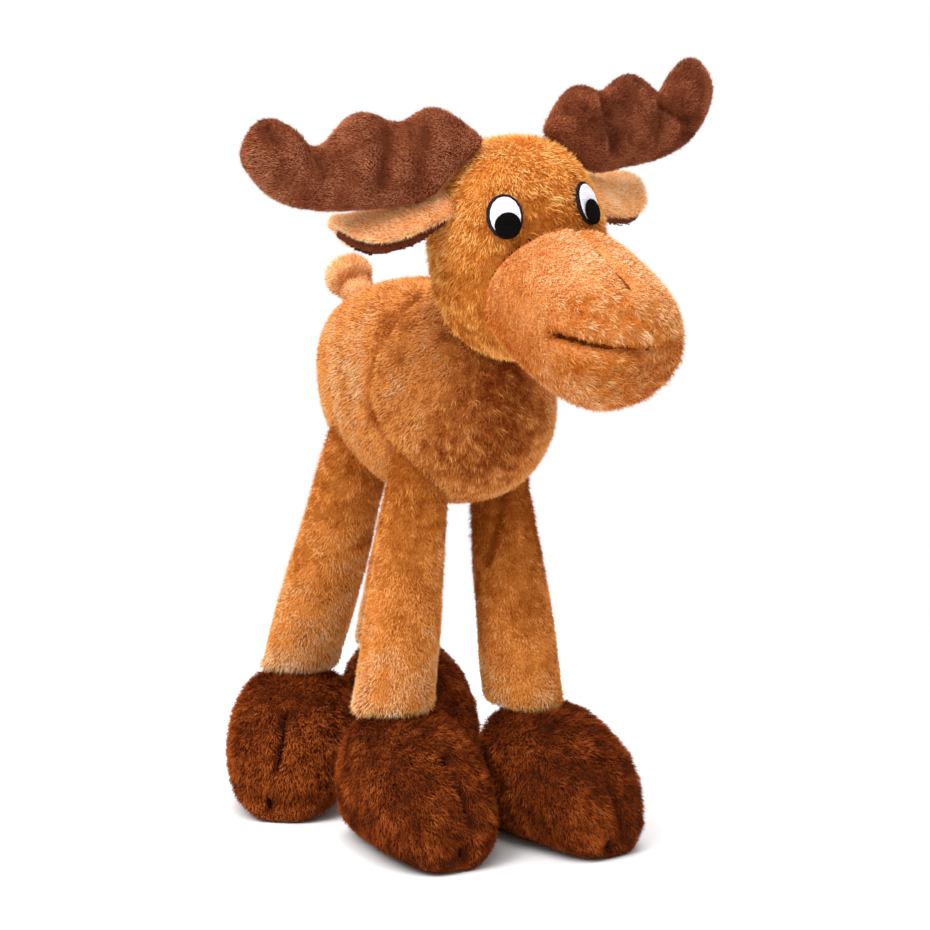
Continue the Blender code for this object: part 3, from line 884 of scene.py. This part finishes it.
TORSO_PIXELS = {
    "rear_fold": ((352, 292), (344, 330), (346, 380), (362, 430)),
    "flank_fold": ((412, 330), (404, 372), (414, 420), (430, 456)),
    "belly_fold": ((440, 446), (470, 470), (510, 474)),
    "gusset": ((422, 296), (395, 322), (377, 347), (368, 400), (380, 432), (400, 454)),
    "dimple": ((386, 318), (388, 324)),
    "flank": ((345, 330), (340, 400)),
    "chest": ((500, 375), (485, 400), (505, 430)),
    "low_chest": ((455, 455), (500, 460)),
}
# Painted light on the flank; painted shade on the chest under the head, whose pile is also longer
# and curlier
TORSO_CHANGES = {
    "flank": dict(radius=0.022, tone_shift=0.10),
    "chest": dict(radius=0.013, tone_shift=-0.27, pile=0.2, curl=0.5),
    "low_chest": dict(radius=0.014, tone_shift=-0.2, pile=0.2, curl=0.5),
}
TORSO_FOLD = dict(width=0.0045, depth=0.0012)
GUSSET = dict(width=0.0026, depth=0.0012)
DIMPLE = dict(width=0.0035, depth=0.0012)
TORSO_COMB = (0, 0.45, -1)


def build_torso():
    """The barrel, with a gusset seam on both flanks and folds on the side that the photo shows."""
    skin = stuffed("torso", **SKINS["torso"])
    places = all_seen_at(skin, TORSO_PIXELS)
    change_around(skin, places, TORSO_CHANGES)
    for name in ("rear_fold", "flank_fold", "belly_fold"):
        fold(skin, places[name], **TORSO_FOLD)
    for line in (places["gusset"], mirrored(places["gusset"], "torso")):
        furrow(skin, line, **GUSSET)
    furrow(skin, places["dimple"], **DIMPLE)
    comb(skin, TORSO_COMB)
    keep_skin(skin, "torso", "torso", riding("torso"))


# Head

HEAD_PIXELS = {
    "locks": ((556, 214), (535, 236), (462, 330), (448, 296)),
    "crown": ((505, 150),),
}
# Painted light on the crown; the locks beside the muzzle are curlier, and deeper in tone as painted
# shade
HEAD_CHANGES = {
    "locks": dict(radius=0.010, tone_shift=-0.2, curl=0.8),
    "crown": dict(radius=0.016, tone_shift=0.2),
}
HEAD_CURL = 0.3
HEAD_COMB = (0, 0.2, -1)


def build_head():
    """The head, closed over the neck's socket, with curlier locks beside the muzzle."""
    skin = stuffed("head", **SKINS["head"])
    change_around(skin, all_seen_at(skin, HEAD_PIXELS), HEAD_CHANGES)
    change_by(skin, 1, curl=HEAD_CURL)
    comb(skin, HEAD_COMB)
    keep_skin(skin, "head", "head", riding("head"))


# Muzzle

MUZZLE_PIXELS = {
    "dart": ((577, 230), (604, 255), (631, 286)),
    "mouth": ((550, 335), (577, 342), (600, 347), (641, 351)),
    "nose": ((575, 322), (610, 318), (645, 325)),
    "chin": ((592, 374), (618, 380)),
    "cheek": ((508, 322), (520, 352), (500, 300)),
    "bridge": ((560, 250), (615, 265)),
}
# Painted light on the bridge; painted shade on the nose, the cheeks and under the chin, where the
# nose and chin also have longer, curlier pile
MUZZLE_CHANGES = {
    "nose": dict(radius=0.010, tone_shift=-0.2, pile=0.1, curl=0.7),
    "chin": dict(radius=0.012, tone_shift=-0.22, pile=0.25, curl=0.6),
    "cheek": dict(radius=0.015, tone_shift=-0.2),
    "bridge": dict(radius=0.018, tone_shift=0.2),
}
MUZZLE_COMB = (0, -1, -0.4)
MOUTH = dict(width=0.0022, depth=0.0056)
FAR_MOUTH = dict(width=0.0018, depth=0.0026)
DART = dict(width=0.0024, depth=0.0036)
# The head's pile beside the muzzle: longer and curlier, and deeper in tone as painted shade at the
# joint
FRINGE_REACH = 0.0040
FRINGE = dict(pile=0.3, tone_shift=-0.3, curl=0.8)
MUZZLE_SEAM_REACH = 0.0034


def build_muzzle():
    """The muzzle with its mouth and dart, sewn to the head under a fringe of the head's pile."""
    skin = stuffed("muzzle", **SKINS["muzzle"])
    places = all_seen_at(skin, MUZZLE_PIXELS)
    for name in ("chin", "cheek"):
        places[name] = (*places[name], *mirrored(places[name], "muzzle"))
    change_around(skin, places, MUZZLE_CHANGES)
    comb(skin, MUZZLE_COMB)
    crease(skin, places["mouth"], **MOUTH)
    crease(skin, mirrored(places["mouth"][1:], "muzzle"), **FAR_MOUTH)
    crease(skin, places["dart"], **DART)
    head = skins["head"]
    change_by(head, beside(head, skin, FRINGE_REACH), **FRINGE)
    for one, other in ((skin, head), (head, skin)):
        sew(one, beside(one, other, MUZZLE_SEAM_REACH))
    keep_skin(skin, "muzzle", "muzzle", riding("head"))


# Tail

TAIL_FOLD_PIXELS = ((376, 277), (354, 275), (339, 284), (334, 302))
TAIL_FOLD = dict(width=0.0026, depth=0.0030)
TAIL_TONE = dict(radius=0.03, tone_shift=-0.1)


def build_tail():
    root = JOINTS["tail_lift"]
    way = (middle("tail") - root).normalized()
    skin = stuffed("tail", stretches=[drawn_root(root, way, "tail")], **SKINS["tail"])
    furrow(skin, seen_at(skin, TAIL_FOLD_PIXELS), **TAIL_FOLD)
    comb(skin, np.array(way))
    around(skin, middle("tail"), **TAIL_TONE)
    keep_skin(skin, "tail", "tail", bending())


# Ears

EAR_ROOT_SWELL = 0.0016
EAR_ROOT_REACH = 0.012
# Longer pile at the ear's root, deeper in tone as painted shade where it meets the head
EAR_ROOT_PILE = dict(radius=0.011, tone_shift=-0.25, pile=0.7)
EAR_HANG = (0, -0.4, -1)

# How far the lower half of a lining hangs down, and the upper half of a leaf stands up
EAR_DROPS = {
    "ear_right": -0.0022,
    "ear_left": 0,
    "ear_lining_right": 0.0032,
    "ear_lining_left": 0.0035,
}


def build_ear(side):
    """A leaf that swells at its root, and the lining that shows below it."""
    root = JOINTS[f"ear_{side}_flap"]
    way = (middle(f"ear_{side}") - root).normalized()
    attach = bending()
    hang = Vector(EAR_HANG).normalized()
    for kind in ("ear", "ear_lining"):
        node = f"{kind}_{side}"
        drop = EAR_DROPS[node]
        stretches = [drawn_root(root, way, "ear")]
        if drop:
            stretches.append((middle(node), hang * math.copysign(1, drop), abs(drop)))
        skin = stuffed(node, stretches=stretches, **SKINS[kind])
        comb(skin, np.array(way))
        if kind == "ear":
            gap = np.linalg.norm(coordinates(skin) - np.array(root), axis=1)
            offset(skin, EAR_ROOT_SWELL * np.exp(-((gap / EAR_ROOT_REACH) ** 2)))
        around(skin, root, **EAR_ROOT_PILE)
        keep_skin(skin, node, kind, attach)


# Antlers

# Each fold: its pixels, its width and its depth, which one factor deepens
ANTLER_DEEPENING = 1.3
ANTLER_FOLD_PIXELS = {
    "right": (
        (((313, 148), (322, 160), (328, 176)), 0.0032, 0.0022),
        (((390, 134), (388, 160), (382, 186)), 0.0034, 0.0020),
        (((270, 130), (280, 140)), 0.0030, 0.0012),
        (((430, 130), (424, 180)), 0.0040, 0.0014),
    ),
    "left": (
        (((604, 104), (610, 130), (614, 150)), 0.0026, 0.0018),
        (((660, 104), (672, 112), (685, 122)), 0.0026, 0.0018),
    ),
}


def build_antler(side):
    node = f"antler_{side}"
    root = JOINTS[f"{node}_sway"]
    way = (middle(node) - root).normalized()
    skin = stuffed(node, stretches=[drawn_root(root, way, "antler")], **SKINS["antler"])
    for pixels, width, depth in ANTLER_FOLD_PIXELS[side]:
        furrow(skin, seen_at(skin, pixels), width, depth * ANTLER_DEEPENING)
    comb(skin, np.array(way))
    keep_skin(skin, node, "antler", bending())


# Legs

ANKLE_BAND = 0.001
ANKLE_SINK = 0.004
LEG_FOLD_PIXELS = {"front_left": ((506, 490), (497, 525), (486, 560))}
LEG_FOLD = dict(width=0.0024, depth=0.0034)
# The shaggy flap by the front left leg's fold: longer, curlier pile, deeper in tone as painted shade
# by the fold
LEG_SHAG_PIXELS = {"front_left": ((488, 500), (480, 530))}
LEG_SHAG = dict(radius=0.008, tone_shift=-0.3, pile=0.7, curl=0.8)
LEG_FOOT_TONE = 0.22
LEG_TONE_FALL = 0.55
LEG_FOOT_PILE = 0.8
LEG_PILE_RISE = 0.5
LEG_CURL = 0.25
CUFF_PILE = 0.7
CUFF_SHARE = 0.05


def ankle_of(name):
    """The middle of a leg's lower end, inside the hoof."""
    points = coordinates(frame["nodes"][f"leg_{name}"])
    return Vector(points[points[:, 2] < points[:, 2].min() + ANKLE_BAND].mean(0))


def build_leg(name):
    """A tube that is lighter towards the foot, where a cuff of longer pile meets the hoof."""
    node = f"leg_{name}"
    root = JOINTS[f"hip_{name}"]
    low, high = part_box(f"leg_{name}")
    ankle = ankle_of(name)
    way = (ankle - root).normalized()
    stretches = [drawn_root(root, way, "leg"), (ankle, way, ANKLE_SINK)]
    skin = stuffed(node, stretches=stretches, **SKINS["leg"])
    comb(skin, np.array(way))
    rise = (coordinates(skin)[:, 2] - low.z) / (high.z - low.z)
    change_by(skin, LEG_FOOT_TONE - LEG_TONE_FALL * rise, tone_shift=1)
    cuff = CUFF_PILE * np.exp(-((rise / CUFF_SHARE) ** 2))
    mark(skin, "pile", LEG_FOOT_PILE + LEG_PILE_RISE * rise**2 + cuff)
    mark(skin, "curl", LEG_CURL * rise)
    if name in LEG_FOLD_PIXELS:
        furrow(skin, seen_at(skin, LEG_FOLD_PIXELS[name]), **LEG_FOLD)
        for spot in seen_at(skin, LEG_SHAG_PIXELS[name]):
            around(skin, spot, **LEG_SHAG)
    keep_skin(skin, node, "leg", bending())


# Hooves

HOOF_SEAM_WIDTH = 0.0019
HOOF_TUCK_WIDTH = 0.0026
HOOF_SEAM_DEPTH = 0.0032
HOOF_COMB_DROP = 0.8
HOOF_CURL = 0.3
HOOF_GAP = 0.008
HOOF_GAP_PILE = -0.6
HOOF_RIM = 0.009
HOOF_RIM_PILE = 0.25
SOLE_LIFT = 0.0002
SOLE_SINK = 0.0015
SOLE_BARE_HEIGHT = 0.001
HOOF_SEAM_REACHES = (0.022, 0.030, 0.038, 0.044)

# Each seam or thread tuck: its pixels and its width
HOOF_SEAM_PIXELS = {
    "hind_right": (
        (((285, 715), (282, 742), (277, 769)), HOOF_SEAM_WIDTH),
        (((269, 800), (269, 808)), HOOF_TUCK_WIDTH),
    ),
    "front_right": (
        (((453, 774), (463, 798), (470, 825)), HOOF_SEAM_WIDTH),
        (((445, 756), (446, 761)), HOOF_TUCK_WIDTH),
        (((463, 850), (463, 857)), HOOF_TUCK_WIDTH),
    ),
    "front_left": (
        (((598, 760), (612, 796), (622, 836)), HOOF_SEAM_WIDTH),
        (((609, 842), (610, 848)), HOOF_TUCK_WIDTH),
    ),
}


def top_line(piece, start, way, reaches):
    """Points of a piece's upper side at some distances from a place."""
    tree = tree_of(piece)
    return np.array([tree.ray_cast(start + way * reach, DOWN)[0] for reach in reaches])


def build_hoof(name):
    """A slipper on a flat bare sole, with a seam along its top."""
    node = f"hoof_{name}"
    skin = stuffed(node, **SKINS["hoof"])
    points = coordinates(skin)
    points[:, 2] -= SOLE_SINK * np.exp(-((points[:, 2] / HOOF_RIM) ** 2))
    points[:, 2] = np.maximum(points[:, 2], SOLE_LIFT)
    place(skin, points)
    mark(skin, "cover", points[:, 2] > SOLE_LIFT + SOLE_BARE_HEIGHT)
    mark(skin, "pile", np.clip(points[:, 2] / HOOF_RIM, HOOF_RIM_PILE, 1))
    ankle = ankle_of(name)
    toe = middle(node) - ankle
    toe.z = 0
    toe.normalize()
    comb(skin, np.array(toe + DOWN * HOOF_COMB_DROP))
    if name in HOOF_SEAM_PIXELS:
        seams = [(seen_at(skin, pixels), width) for pixels, width in HOOF_SEAM_PIXELS[name]]
    else:
        seams = [(top_line(skin, ankle, toe, HOOF_SEAM_REACHES), HOOF_SEAM_WIDTH)]
    for line, width in seams:
        crease(skin, line, width, HOOF_SEAM_DEPTH)
    change_by(skin, 1 - kept(skin, "seam"), curl=HOOF_CURL)
    keep_skin(skin, node, "hoof", riding(f"leg_{name}"))


# Eyes

THREAD_PITCH = 0.00035
THREAD_WANDER_SCALE = 500
THREAD_TONE_SPREAD = 0.5
THREAD_BUMP_STRENGTH = 0.5
PATCH_VOXEL = 0.0003
PATCH_ROUNDS = 4


def satin_group():
    """Shared effect of satin stitch: close rows of thread, each with its own tone, light on its
    crest and deep in the groove between rows as painted shade.
    """
    group = bpy.data.node_groups.new("satin", "ShaderNodeTree")
    face = group.interface
    for name, kind in (
        ("Deep", "NodeSocketColor"),
        ("Light", "NodeSocketColor"),
        ("Way", "NodeSocketVector"),
    ):
        face.new_socket(name, in_out="INPUT", socket_type=kind)
    face.new_socket("Color", in_out="OUTPUT", socket_type="NodeSocketColor")
    face.new_socket("Normal", in_out="OUTPUT", socket_type="NodeSocketVector")
    taken = add_node(group, "NodeGroupInput")
    spot = add_node(group, "ShaderNodeTexCoord").outputs["Object"]
    across = add_node(
        group,
        "ShaderNodeVectorMath",
        {0: spot, 1: taken.outputs["Way"]},
        operation="DOT_PRODUCT",
    )
    wander = add_node(
        group, "ShaderNodeTexNoise", {"Vector": spot, "Scale": THREAD_WANDER_SCALE, "Detail": 1}
    )
    rows = add_node(
        group,
        "ShaderNodeMath",
        {0: across.outputs["Value"], 1: 1 / THREAD_PITCH, 2: wander.outputs["Fac"]},
        operation="MULTIPLY_ADD",
    )
    relief = add_node(group, "ShaderNodeMath", {0: rows.outputs[0], 1: 1.0}, operation="PINGPONG")
    number = add_node(group, "ShaderNodeMath", {0: rows.outputs[0]}, operation="FLOOR")
    own = add_node(
        group, "ShaderNodeTexWhiteNoise", {"W": number.outputs[0]}, noise_dimensions="1D"
    )
    # Painted shade: the tone deepens with the relief towards the grooves between rows
    share = add_node(
        group,
        "ShaderNodeMath",
        {0: own.outputs["Value"], 1: THREAD_TONE_SPREAD, 2: relief.outputs[0]},
        operation="MULTIPLY_ADD",
    )
    tint = add_node(group, "ShaderNodeMix", {0: share.outputs[0]}, data_type="RGBA")
    group.links.new(taken.outputs["Deep"], tint.inputs[6])
    group.links.new(taken.outputs["Light"], tint.inputs[7])
    bump = add_node(
        group,
        "ShaderNodeBump",
        {
            "Strength": THREAD_BUMP_STRENGTH,
            "Distance": THREAD_PITCH / 2,
            "Height": relief.outputs[0],
        },
    )
    given = add_node(group, "NodeGroupOutput")
    group.links.new(tint.outputs[2], given.inputs["Color"])
    group.links.new(bump.outputs[0], given.inputs["Normal"])
    return group


def thread_finish(name, deep, light, way):
    finish = plain_finish(name, colour(*light), roughness=0.7, specular=0.03)
    tree = finish.node_tree
    satin = add_node(tree, "ShaderNodeGroup", node_tree=SATIN)
    satin.inputs["Deep"].default_value = colour(*deep)
    satin.inputs["Light"].default_value = colour(*light)
    satin.inputs["Way"].default_value = way
    shader = tree.nodes["Principled BSDF"]
    tree.links.new(satin.outputs["Color"], shader.inputs["Base Color"])
    tree.links.new(satin.outputs["Normal"], shader.inputs["Normal"])
    return finish


SATIN = satin_group()

# Each stitched patch: the name of its finish, its deep and light tones, and the way across its rows
THREADS = {
    "eye_rim": ("outline_thread", (16, 12, 18), (44, 36, 48), (0.3, 0.3, 0.9)),
    "eye_white": ("white_thread", (196, 190, 208), (240, 238, 248), (0, 0.4, 0.9)),
    "pupil": ("black_thread", (2, 2, 2), (11, 9, 8), (0, 0, 1)),
}
THREAD_FINISHES = {part: thread_finish(*thread) for part, thread in THREADS.items()}


def make_eye(side):
    """Three satin-stitched patches: a dark outline, the white and the pupil."""
    for part, finish in THREAD_FINISHES.items():
        node = f"{part}_{side}"
        patch = remeshed(f"{node}_patch", node, PATCH_VOXEL)
        round_off(patch, PATCH_ROUNDS)
        patch.data.materials.clear()
        patch.data.materials.append(finish)
        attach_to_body(patch, "head")
        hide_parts(node)


# Light, floor and camera

FLOOR_REACH = 60.0
FLOOR_TONE = (250, 250, 250)
FLOOR_ROUGHNESS = 0.9
WHITE = (1, 1, 1, 1)

# Between these distances from the toy the floor turns into the plain background for the camera
FLOOR_FADE = (0.16, 0.42)

# How strong the background lights the toy, where the camera sees it at full strength
BACKGROUND_LIGHT = 0.53

# Name, azimuth and elevation in degrees, distance and size in metres, power in watts
LAMPS = (
    ("key", -84, 46, 1.3, 0.7, 11.6),
    ("top", -50, 78, 1.3, 1.0, 16),
    ("front", -5, 22, 1.6, 1.0, 3),
    ("back", 140, 46, 1.5, 0.9, 9),
)


def make_floor():
    mesh = bpy.data.meshes.new("floor")
    reach = FLOOR_REACH
    corners = [(-reach, -reach, 0), (reach, -reach, 0), (reach, reach, 0), (-reach, reach, 0)]
    mesh.from_pydata(corners, [], [(0, 1, 2, 3)])
    floor = new_object("floor", mesh)
    finish = plain_finish("floor", colour(*FLOOR_TONE), FLOOR_ROUGHNESS)
    tree = finish.node_tree
    spot = add_node(tree, "ShaderNodeTexCoord").outputs["Object"]
    far = add_node(tree, "ShaderNodeVectorMath", {0: spot}, operation="LENGTH").outputs["Value"]
    start, end = FLOOR_FADE
    fade = add_node(tree, "ShaderNodeMapRange", {"Value": far, 1: start, 2: end})
    path = add_node(tree, "ShaderNodeLightPath").outputs
    share = add_node(
        tree,
        "ShaderNodeMath",
        {0: fade.outputs[0], 1: path["Is Camera Ray"]},
        operation="MULTIPLY",
    )
    glow = add_node(tree, "ShaderNodeEmission", {"Color": WHITE, "Strength": 1.0})
    both = add_node(
        tree,
        "ShaderNodeMixShader",
        {0: share.outputs[0], 1: tree.nodes["Principled BSDF"].outputs[0], 2: glow.outputs[0]},
    )
    tree.links.new(both.outputs[0], tree.nodes["Material Output"].inputs[0])
    mesh.materials.append(finish)


def make_background():
    world = bpy.data.worlds.new("studio")
    world.use_nodes = True
    tree = world.node_tree
    path = add_node(tree, "ShaderNodeLightPath").outputs
    seen = add_node(
        tree,
        "ShaderNodeMath",
        {0: path["Is Camera Ray"], 1: path["Is Glossy Ray"]},
        operation="ADD",
    )
    strength = add_node(
        tree,
        "ShaderNodeMapRange",
        {"Value": seen.outputs[0], 1: 0.0, 2: 1.0, 3: BACKGROUND_LIGHT, 4: 1.0},
    )
    tree.links.new(strength.outputs[0], tree.nodes["Background"].inputs["Strength"])
    tree.nodes["Background"].inputs["Color"].default_value = WHITE
    bpy.context.scene.world = world


def make_lamps():
    for name, azimuth, elevation, distance, size, power in LAMPS:
        lamp = bpy.data.lights.new(name, "AREA")
        lamp.energy = power
        lamp.size = size
        holder = new_object(name, lamp)
        turn, rise = math.radians(azimuth), math.radians(elevation)
        flat = math.cos(rise)
        way = Vector((math.sin(turn) * flat, -math.cos(turn) * flat, math.sin(rise)))
        holder.location = CAMERA_TARGET + way * distance
        holder.rotation_euler = way.to_track_quat("Z", "Y").to_euler()


def make_camera():
    right, up, back = view_axes()
    lens = bpy.data.cameras.new("camera")
    lens.sensor_width = SENSOR_WIDTH
    lens.lens = SENSOR_WIDTH * FOCAL_PIXELS / FRAME_PIXELS
    camera = new_object("camera", lens)
    camera.location = CAMERA_TARGET + back * CAMERA_DISTANCE
    camera.rotation_euler = back.to_track_quat("Z", "Y").to_euler()
    bpy.context.scene.camera = camera


def dress_all():
    """Clothe every skin and grow its pile once all skins are there."""
    touching = {
        "torso": ["head"],
        "head": ["torso", "muzzle"],
        "muzzle": ["head"],
        "tail": ["torso"],
    }
    for side in SIDES:
        touching[f"ear_{side}"] = ["head"]
        touching[f"ear_lining_{side}"] = ["head"]
        touching[f"antler_{side}"] = ["head"]
    for name in LEGS:
        touching[f"leg_{name}"] = ["torso", f"hoof_{name}"]
        touching[f"hoof_{name}"] = [f"leg_{name}"]
    for one, other in (("front_right", "front_left"), ("hind_right", "hind_left")):
        for hoof, next_hoof in ((one, other), (other, one)):
            near = beside(skins[f"hoof_{hoof}"], skins[f"hoof_{next_hoof}"], HOOF_GAP)
            change_by(skins[f"hoof_{hoof}"], near, pile=HOOF_GAP_PILE)
    for node, others in touching.items():
        spare(skins[node], [skins[other] for other in others], HIDDEN_DEPTH)
    for number, (node, kind, attach) in enumerate(pile_jobs):
        skin = skins[node]
        plush, strands = PILES[kind]
        fur = grow(skin, f"{node}_pile", plush, number * SEED_STEP + 1, **strands)
        attach(fur)
        dress(skin, plush, attach)
    for node, skin in skins.items():
        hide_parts(node)


make_camera()
build_torso()
build_head()
build_muzzle()
build_tail()
for side_name in SIDES:
    build_ear(side_name)
    build_antler(side_name)
    make_eye(side_name)
for leg_name in LEGS:
    build_leg(leg_name)
    build_hoof(leg_name)
dress_all()
bpy.data.objects.remove(STRAND)
make_floor()
make_background()
make_lamps()

bpy.context.scene.view_settings.view_transform = "Standard"
